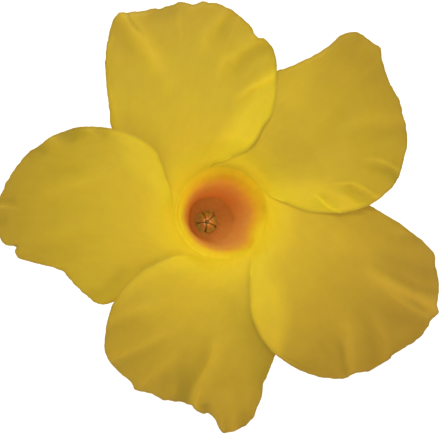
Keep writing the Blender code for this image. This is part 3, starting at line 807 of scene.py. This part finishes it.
stamen_tissue = tissue("anthers", stamen_finish, 0.55, 0.8, THROAT_SOAK)
for number in range(STAMENS):
    angle = STAMEN_FIRST + 360 / STAMENS * number
    bpy.ops.object.select_all(action="DESELECT")
    bpy.ops.mesh.primitive_uv_sphere_add(segments=28, ring_count=36, radius=MM)
    stamen = bpy.context.object
    stamen.name = stamen.data.name = f"stamen_{number + 1}_anther"
    ball = points_of(stamen)
    height = 0.5 + np.arcsin(np.clip(ball[:, 2], -1, 1)) / math.pi
    shares, *columns = np.array(STAMEN_PROFILE).T
    away, half_width, half_thickness = (np.interp(height, shares, column) for column in columns)
    ring = np.maximum(np.hypot(ball[:, 0], ball[:, 1]), 1e-6)
    side, front = ball[:, 0] / ring, ball[:, 1] / ring
    anther = smoothstep(0.2, 0.4, height) * (1 - smoothstep(0.75, 0.95, height))
    groove = 1 - 0.35 * anther * np.exp(-((side / 0.25) ** 2))
    plan = on_face(angle, 1) * (away + half_thickness * front * groove)[:, None]
    plan = plan + on_face(angle - 90, 1) * (half_width * side)[:, None]
    depth = STAMEN_FOOT_DEPTH + (STAMEN_TIP_DEPTH - STAMEN_FOOT_DEPTH) * height
    keep(stamen, "height", height)
    keep(stamen, "side", side)
    lay_down(stamen, carry(np.column_stack([plan, -depth]), cone_middle))
    stamen.data.materials.append(stamen_tissue)
    smooth_faces(stamen, 80)
    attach(stamen, "root")
    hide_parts(f"stamen_{number + 1}")


# The pistil: the ovary at the foot of the tube, a thread-like style, and the swollen stigma head
# under the anthers. It is one soft pale green piece, orange at its head.
PISTIL_PROFILE = [
    # (radius, depth), from the tip of the stigma head down to the foot of the ovary
    (0.12, 15.6), (0.35, 16.4), (0.5, 17.6), (0.95, 18.6), (1.0, 20.4), (0.6, 21.4),
    (0.35, 22.2), (0.3, 30.0), (0.35, 38.5), (0.7, 39.6), (1.0, 41.2), (0.95, 42.6), (0.7, TUBE_END),
]


def pistil_finish(start):
    depth = start.attribute("depth")
    colour = ((depth - 15.0) * (1 / 28)).ramp(
        (0.0, (0.92, 0.42, 0.12)), (0.12, (0.85, 0.45, 0.14)), (0.25, (0.66, 0.58, 0.20)),
        (0.80, (0.58, 0.56, 0.20)), (0.92, (0.36, 0.46, 0.10)), (1.0, (0.30, 0.40, 0.08)),
    )
    grain = start.around_noise(3.0, depth * 1.5, detail=3.0)
    return colour.shaded(grain * 0.3 + 0.85), grain, 0.05


def close_poles(piece):
    """Draws the tiny rings at a piece's two ends together and turns its faces outwards."""
    select_only(piece)
    bpy.ops.object.mode_set(mode="EDIT")
    bpy.ops.mesh.select_all(action="SELECT")
    bpy.ops.mesh.remove_doubles(threshold=3 * POLE * MM)
    bpy.ops.mesh.normals_make_consistent(inside=False)
    bpy.ops.object.mode_set(mode="OBJECT")


POLE = 0.005
pistil_rings = [(POLE, 15.55), *(tuple(ring) for ring in smooth_line(PISTIL_PROFILE, steps=5))]
pistil = turned("style_and_stigma", [*pistil_rings, (POLE, TUBE_END)], 24)
close_poles(pistil)
points = points_of(pistil)
keep(pistil, "depth", -points[:, 2])
keep_round(pistil, points)
lay_down(pistil, carry(points, cone_middle))
pistil.data.materials.append(tissue("style and stigma", pistil_finish, 0.5))
smooth_faces(pistil)
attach(pistil, "root")
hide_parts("pistil")


# The calyx: five narrow green sepals around the foot of the tube, each a stiff blade with a midrib,
# thin margins and a tip that leans out.
SEPALS = 5
SEPAL_FIRST = 20.0
SEPAL_LENGTH, SEPAL_HALF_WIDTH, SEPAL_TIP, SEPAL_WALL = 9.0, 1.38, 0.12, 0.4
SEPAL_FOOT_RADIUS, SEPAL_SPREAD = 2.6, 1.5
MIDRIB_HEIGHT, MIDRIB_HALF_WIDTH = 0.14, 0.22


def sepal_finish(start):
    along, side = start.attribute("along"), start.attribute("side")
    colour = along.ramp(
        (0.0, (0.20, 0.30, 0.05)), (0.5, (0.16, 0.27, 0.045)), (0.85, (0.17, 0.24, 0.05)),
        (1.0, (0.26, 0.17, 0.06)),
    )
    veins = start.noise(side * 9.0, along * 1.5, detail=3.0)
    edge = (side * side).smooth(0.5, 1.0) * 0.4
    return edge.between(colour, (0.34, 0.40, 0.10)).shaded(veins * 0.5 + 0.75), veins, 0.1


sepal_tissue = tissue("sepals", sepal_finish, 0.55, glow=0.2)
for number in range(SEPALS):
    bpy.ops.object.select_all(action="DESELECT")
    bpy.ops.mesh.primitive_grid_add(x_subdivisions=22, y_subdivisions=40, size=2 * MM)
    sepal = bpy.context.object
    sepal.name = sepal.data.name = f"sepal_{number + 1}_blade"
    square = points_of(sepal)
    side, along = square[:, 0], np.clip((square[:, 1] + 1) / 2, 0, 1)
    half = SEPAL_HALF_WIDTH * (1 - along) ** 0.6 * (1 + 0.55 * along) + SEPAL_TIP
    radius = SEPAL_FOOT_RADIUS + SEPAL_WALL + SEPAL_SPREAD * along**2
    midrib = MIDRIB_HEIGHT * np.exp(-((side * half / MIDRIB_HALF_WIDTH) ** 2)) * (1 - 0.6 * along)
    angles = SEPAL_FIRST + 360 / SEPALS * number + np.degrees(half * side / radius)
    plan = on_face(angles, radius + midrib - 0.1 * side**4)
    keep(sepal, "along", along)
    keep(sepal, "side", side)
    body = sepal.vertex_groups.new(name="body")
    for vertex, weight in enumerate(1 - np.abs(side) ** 3):
        body.add([vertex], float(weight), "REPLACE")
    points = np.column_stack([plan, SEPAL_LENGTH * along - TUBE_END])
    lay_down(sepal, carry(points, tube_middle))
    sepal.data.materials.append(sepal_tissue)
    give_wall(sepal, SEPAL_WALL, sepal_tissue, margin_share=0.35)
    settle(sepal)
    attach(sepal, "root")
    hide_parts(f"sepal_{number + 1}")


# The stalk: a short green stem that widens into the cup under the calyx, with the ring of a node on
# it. Its lower end is where the flower was picked, and shows the pale cut.
STALK_TOP = TUBE_END + 0.3
STALK_BENDS_TOWARDS = -40.0
STALK = [
    # (depth below the top, sideways, radius)
    (0.0, 0.0, 3.1), (0.8, 0.0, 2.8), (1.7, 0.0, 1.9), (2.6, 0.1, 1.25), (4.4, 0.3, 1.0),
    (6.3, 0.65, 0.96), (6.9, 0.78, 1.14), (7.5, 0.92, 0.97), (10.0, 1.7, 0.95), (13.0, 3.0, 1.0),
    (15.5, 4.3, 1.1),
]


def stalk_finish(start):
    depth, cut = start.attribute("depth"), start.attribute("cut")
    ribs = start.around_noise(3.5, depth * 0.35, detail=3.0)
    spots = start.around_noise(5.0, depth * 2.2).smooth(0.62, 0.72) * 0.5
    colour = ribs.ramp((0.2, (0.10, 0.17, 0.030)), (0.8, (0.20, 0.28, 0.055)))
    colour = spots.between(colour, (0.36, 0.34, 0.12))
    return cut.between(colour, (0.52, 0.54, 0.26)), ribs, 0.12


depths, sideways, radii = np.array(STALK).T
rings = smooth_line(np.column_stack([radii, depths + STALK_TOP]), steps=5)
rings = [(POLE, STALK_TOP), *(tuple(ring) for ring in rings), (POLE, rings[-1][1])]
stalk = turned("stalk_and_cup", rings, 40)
close_poles(stalk)
points = points_of(stalk)
keep(stalk, "depth", -points[:, 2])
keep_round(stalk, points)
picked = np.hypot(points[:, 0], points[:, 1]) < radii[-1] * 0.9
keep(stalk, "cut", picked & (-points[:, 2] > rings[-1][1] - 0.01))


def stalk_middle(depth):
    """How far the stalk has bent to its side at these depths."""
    aside = np.interp(depth - STALK_TOP, depths, sideways)
    return on_face(STALK_BENDS_TOWARDS, 1.0) * aside[:, None]


lay_down(stalk, carry(carry(points, stalk_middle), tube_middle))
stalk.data.materials.append(tissue("stalk", stalk_finish, 0.55, glow=0.15))
smooth_faces(stalk)
settle(stalk)
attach(stalk, "root")
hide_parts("stalk")


# What the flower lies on: white paper that looks white to the camera and still takes its shadow.
bpy.ops.object.select_all(action="DESELECT")
bpy.ops.mesh.primitive_plane_add(size=6.0, location=(0, 0, 0))
floor = bpy.context.object
floor.name = "floor"
paper = bpy.data.materials.new("white paper")
paper.use_nodes = True
paper.node_tree.nodes.remove(paper.node_tree.nodes["Principled BSDF"])
start = Tint(paper.node_tree)
ways = [start.node("LightPath", output=output) for output in (0, 3, 6)]  # camera, glossy, transmission
seen = ways[0] + ways[1] + ways[2]
lit = start.node("BsdfDiffuse", None, {"Color": (0.8, 0.8, 0.8, 1)})
dim = start.node("BsdfDiffuse", None, {"Color": (0.3, 0.3, 0.3, 1)})
white = start.node("AddShader", None, {0: start.node("Emission", None, {"Strength": 0.82}), 1: dim})
mixed = start.node("MixShader", None, {0: seen, 1: lit, 2: white})
paper.node_tree.links.new(mixed.socket, paper.node_tree.nodes["Material Output"].inputs["Surface"])
floor.data.materials.append(paper)


# The light of a plain studio: an even white room, a large soft lamp above the flower's face, one
# beside the camera that shines down its throat, and one behind it that makes the thin throat glow.
world = bpy.data.worlds.new("studio")
bpy.context.scene.world = world
world.use_nodes = True
start = Tint(world.node_tree)
seen = start.node("LightPath", output=0)
room = world.node_tree.nodes["Background"]
room.inputs["Strength"].default_value = 0.4
room.inputs["Color"].default_value = (1, 1, 1, 1)
backdrop = start.node("Background", None, {"Strength": 1.0, "Color": (1, 1, 1, 1)})
mixed = start.node("MixShader", None, {0: seen, 1: Tint(world.node_tree, room.outputs[0]), 2: backdrop})
world.node_tree.links.new(mixed.socket, world.node_tree.nodes["World Output"].inputs["Surface"])

LAMPS = [  # (name, strength, apparent size in degrees, the way to it from the flower's face)
    ("soft_key", 1.08, 22, (-0.2, 0.55, 0.81)),
    ("lamp_at_camera", 0.93, 8, (0, 0, 1)),
    ("lamp_behind", 2.1, 30, (-0.25, 0.87, -0.4)),
]
for name, strength, size, way in LAMPS:
    bpy.ops.object.light_add(type="SUN")
    lamp = bpy.context.object
    lamp.name = name
    lamp.data.energy = strength
    lamp.data.angle = math.radians(size)
    lamp.rotation_euler = Vector(LAID @ np.array(way)).to_track_quat("Z", "Y").to_euler()


# The camera looks straight at the flower's face, from far enough to flatten it a little.
FRAME_WIDTH = 75.5
LENS, SENSOR = 250.0, 36.0
FRAME_MIDDLE = np.array([-0.17, -1.20, 0.0])
bpy.ops.object.camera_add()
camera = bpy.context.object
camera.data.lens = LENS
camera.data.sensor_width = SENSOR
camera.data.clip_start = 0.01
stand = LAID @ (FRAME_MIDDLE + np.array([0, 0, FRAME_WIDTH * LENS / SENSOR])) + MOUTH_AT
camera.matrix_world = Matrix.Translation(stand * MM) @ Matrix(LAID).to_4x4()
bpy.context.scene.camera = camera
bpy.context.scene.view_settings.view_transform = "Standard"
